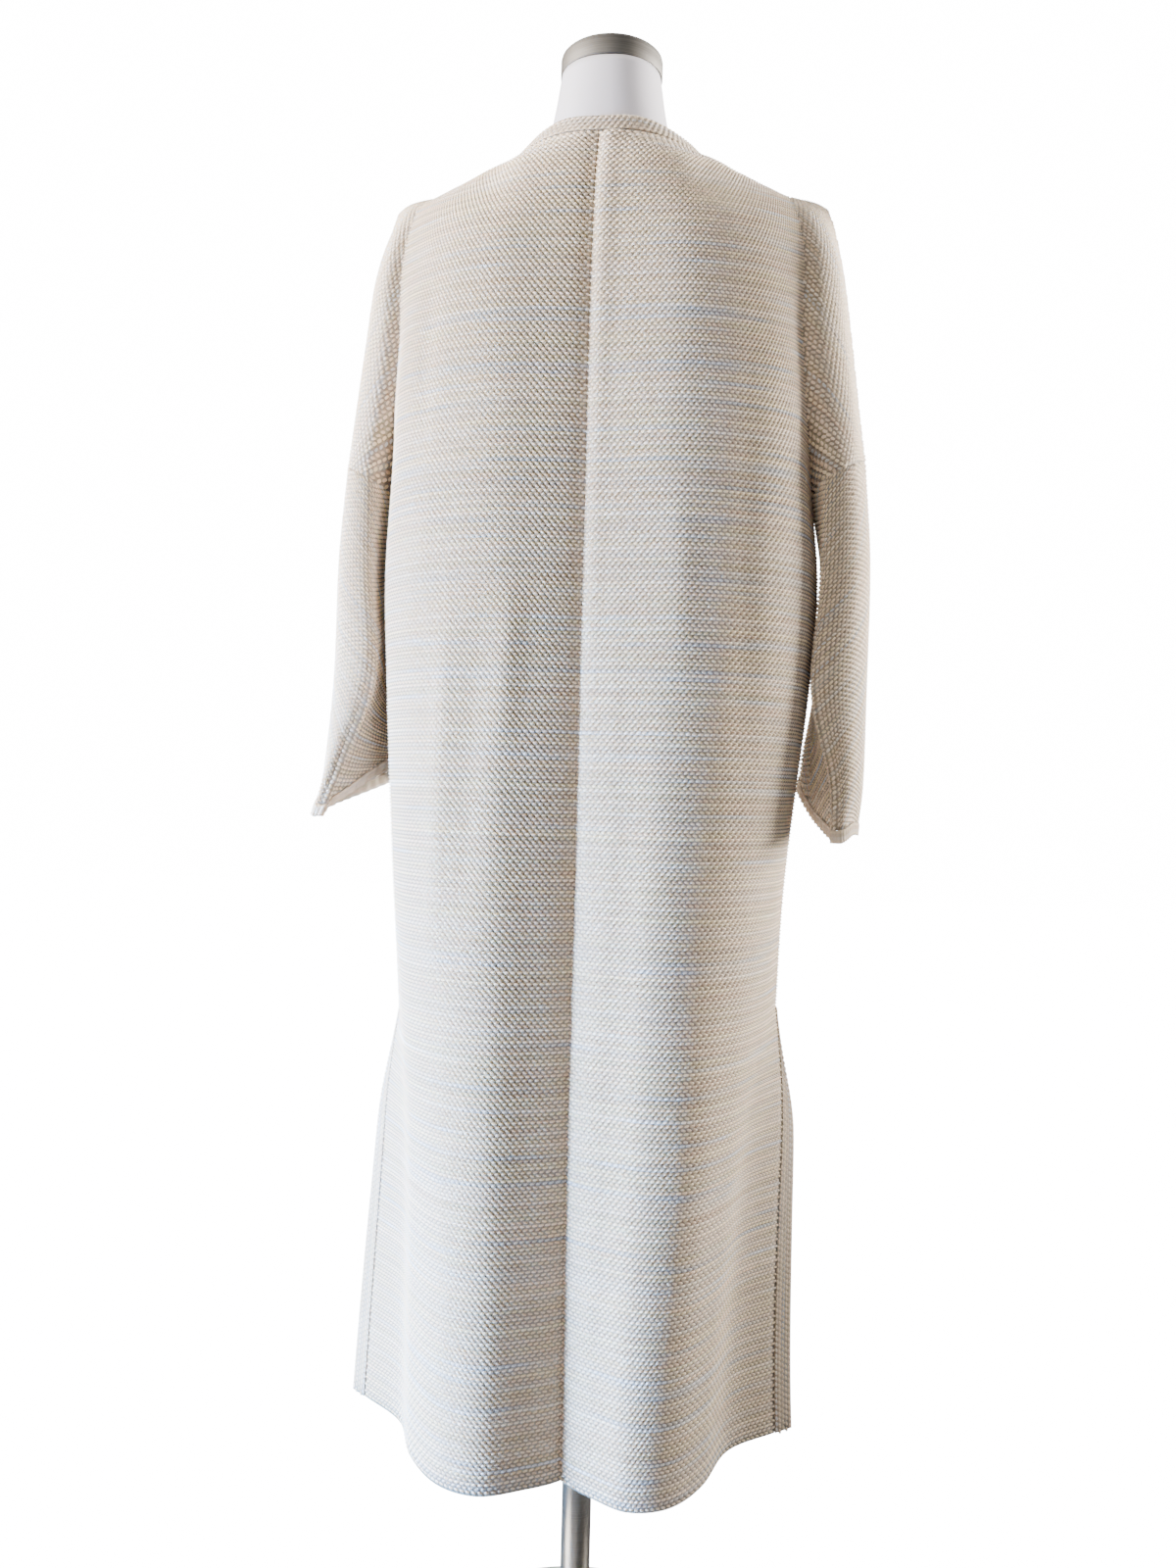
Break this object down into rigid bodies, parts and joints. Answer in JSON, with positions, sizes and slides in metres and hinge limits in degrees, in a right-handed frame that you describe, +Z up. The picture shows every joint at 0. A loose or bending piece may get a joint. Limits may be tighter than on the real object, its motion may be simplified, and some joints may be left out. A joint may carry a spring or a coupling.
{
  "type": "cardigan coat on a dress form",
  "caption": "Long open cardigan coat in chunky knit with dropped shoulders, banded edges and side slits, worn by a limbless dress form on a round base.",
  "frame": {"origin": "centre of the base plate's underside, on the floor under the pole", "axes": "+Z up, the coat's open front faces -Y, the wearer's left is +X"},
  "size_m": [0.525, 0.34, 1.5493],
  "materials": {
    "panel_knit": "chunky two-tone cream knit in fine crosswise stripes",
    "band_knit": "the same knit turned to run along the band, doubled",
    "cuff_rib": "short ribbed knit hem",
    "form_cover": "smooth pale satin shell",
    "cap_steel": "brushed neck cap",
    "stand_steel": "brushed pole and base plate"
  },
  "bodies": {
    "root": {"neckband": "band_knit", "back_left": "panel_knit", "front_left": "panel_knit", "sleeve_left": "panel_knit", "cuff_left": "cuff_rib", "front_band_left": "band_knit", "slit_band_back_left": "band_knit", "slit_band_front_left": "band_knit", "back_right": "panel_knit", "front_right": "panel_knit", "sleeve_right": "panel_knit", "cuff_right": "cuff_rib", "front_band_right": "band_knit", "slit_band_back_right": "band_knit", "slit_band_front_right": "band_knit", "form_torso": "form_cover", "neck_cap": "cap_steel", "stand_pole": "stand_steel", "stand_base": "stand_steel"}
  },
  "joints": []
}
